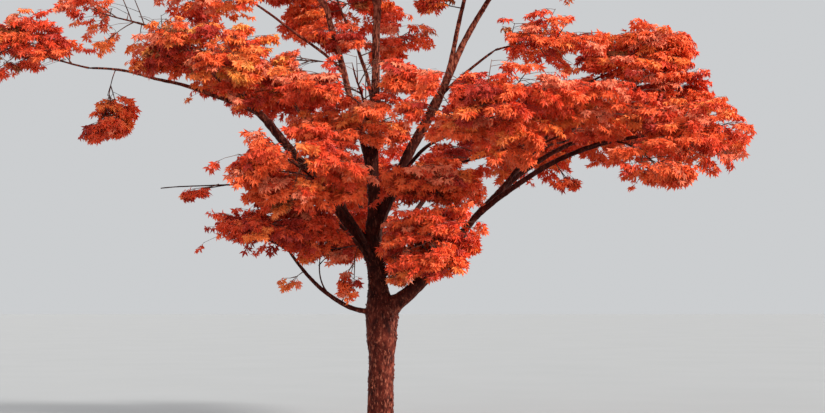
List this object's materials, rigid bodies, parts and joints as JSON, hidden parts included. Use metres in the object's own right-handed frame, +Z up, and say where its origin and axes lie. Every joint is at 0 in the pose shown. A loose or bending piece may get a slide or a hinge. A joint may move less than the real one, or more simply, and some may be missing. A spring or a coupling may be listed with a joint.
{
  "type": "paperbark maple tree",
  "caption": "Mature paperbark maple in autumn leaf: short leaning trunk, low fork, wide arching boughs and loose tiers of scarlet foliage.",
  "frame": {"origin": "centre of the flat cut under the trunk, at ground level", "axes": "+Z up along the trunk, +X to the right of the picture, +Y away from its viewer"},
  "size_m": [8.9061, 6.3523, 7.3605],
  "materials": {
    "bark": "rough, peeling",
    "leaf_scarlet": "matt",
    "leaf_crimson": "matt",
    "leaf_orange": "matt"
  },
  "bodies": {
    "root": {"trunk": "bark", "leader": "bark", "leader_top": "bark", "leader_left": "bark", "left_stem": "bark", "left_stem_top": "bark", "left_stem_side": "bark", "right_stem": "bark", "right_stem_up": "bark", "right_stem_out": "bark", "right_stem_low": "bark", "right_limb": "bark", "right_low": "bark", "right_high": "bark", "right_rise": "bark", "right_hang": "bark", "right_back": "bark", "right_front": "bark", "front_right": "bark", "low_right": "bark", "left_limb": "bark", "left_low": "bark", "left_outer": "bark", "left_high": "bark", "front_left": "bark", "left_under": "bark", "low_left": "bark", "near_right": "bark", "back": "bark", "back_left": "bark", "back_right": "bark", "back_high": "bark", "outer_right_foliage": "leaf_scarlet", "right_middle_foliage": "leaf_scarlet", "right_crest_foliage": "leaf_scarlet", "right_hanging_foliage": "leaf_scarlet", "right_back_foliage": "leaf_scarlet", "right_front_foliage": "leaf_scarlet", "front_right_foliage": "leaf_scarlet", "low_right_foliage": "leaf_scarlet", "centre_front_foliage": "leaf_scarlet", "front_left_foliage": "leaf_scarlet", "left_under_foliage": "leaf_crimson", "low_left_foliage": "leaf_crimson", "near_right_foliage": "leaf_scarlet", "left_hanging_foliage": "leaf_scarlet", "far_left_foliage": "leaf_crimson", "left_high_foliage": "leaf_orange", "left_front_foliage": "leaf_orange", "upper_left_foliage": "leaf_orange", "top_left_foliage": "leaf_orange", "top_middle_foliage": "leaf_scarlet", "top_foliage": "leaf_scarlet", "top_right_foliage": "leaf_scarlet", "upper_right_foliage": "leaf_orange", "right_shoulder_foliage": "leaf_scarlet", "back_foliage": "leaf_scarlet", "back_left_foliage": "leaf_crimson", "back_right_foliage": "leaf_scarlet", "back_high_foliage": "leaf_scarlet"}
  },
  "joints": []
}
